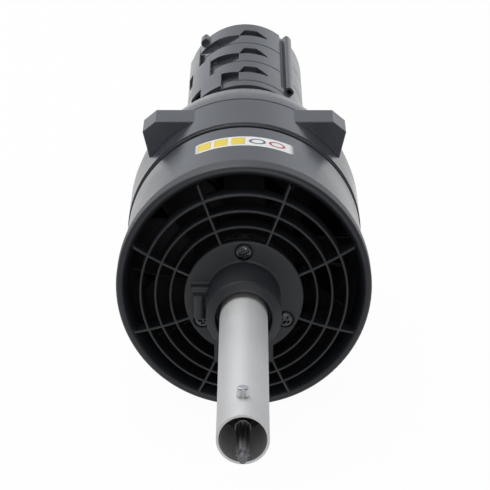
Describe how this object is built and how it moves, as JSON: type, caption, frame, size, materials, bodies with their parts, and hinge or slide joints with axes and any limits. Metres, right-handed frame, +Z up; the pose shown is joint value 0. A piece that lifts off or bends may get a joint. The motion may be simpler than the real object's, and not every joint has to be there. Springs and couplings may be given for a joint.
{
  "type": "blower attachment",
  "caption": "Axial blower attachment for a split-shaft garden tool: pipe with drive shaft, domed intake guard, round fan housing with side fins, and a twist-lock nozzle sleeve.",
  "frame": {"origin": "centre of the pipe's open end", "axes": "+Y along the machine axis from the pipe's open end to the nozzle, +Z up through the middle between the two fins"},
  "size_m": [0.1392, 0.6274, 0.1392],
  "materials": {
    "housing_plastic": "fine moulded texture",
    "inner_plastic": "plain moulded",
    "steel": "ground",
    "plated_steel": "bright zinc plate",
    "black_steel": "black oxide",
    "pipe_aluminium": "satin anodised",
    "cast_aluminium": "die cast"
  },
  "bodies": {
    "head": {"intake_guard": "housing_plastic", "front_shell": "housing_plastic", "rear_shell": "housing_plastic", "shaft_bushes": "inner_plastic", "stator": "inner_plastic", "hub_screws": "black_steel", "clamp_screw": "steel", "clamp_nut": "steel", "housing_circlip": "steel", "locating_pin": "plated_steel", "front_bearing_outer_race": "steel", "rear_bearing_outer_race": "steel", "pipe": "pipe_aluminium", "bearing_housing": "cast_aluminium"},
    "rotor": {"drive_shaft": "steel", "fan": "inner_plastic", "fan_spacer": "steel", "fan_washer": "steel", "fan_nut": "steel", "shaft_circlip": "steel", "front_bearing_inner_race": "steel", "front_bearing_balls": "steel", "rear_bearing_inner_race": "steel", "rear_bearing_balls": "steel"},
    "nozzle_sleeve": {"nozzle": "housing_plastic"}
  },
  "joints": [
    {"name": "rotor_spin", "type": "hinge", "parent": "head", "child": "rotor", "pos_m": [0, 0, 0], "axis": [0, 1, 0], "continuous": true},
    {"name": "nozzle_twist", "type": "hinge", "parent": "head", "child": "nozzle_sleeve", "pos_m": [0, 0.4564, 0], "axis": [0, 1, 0], "range_deg": [0, 17]}
  ]
}
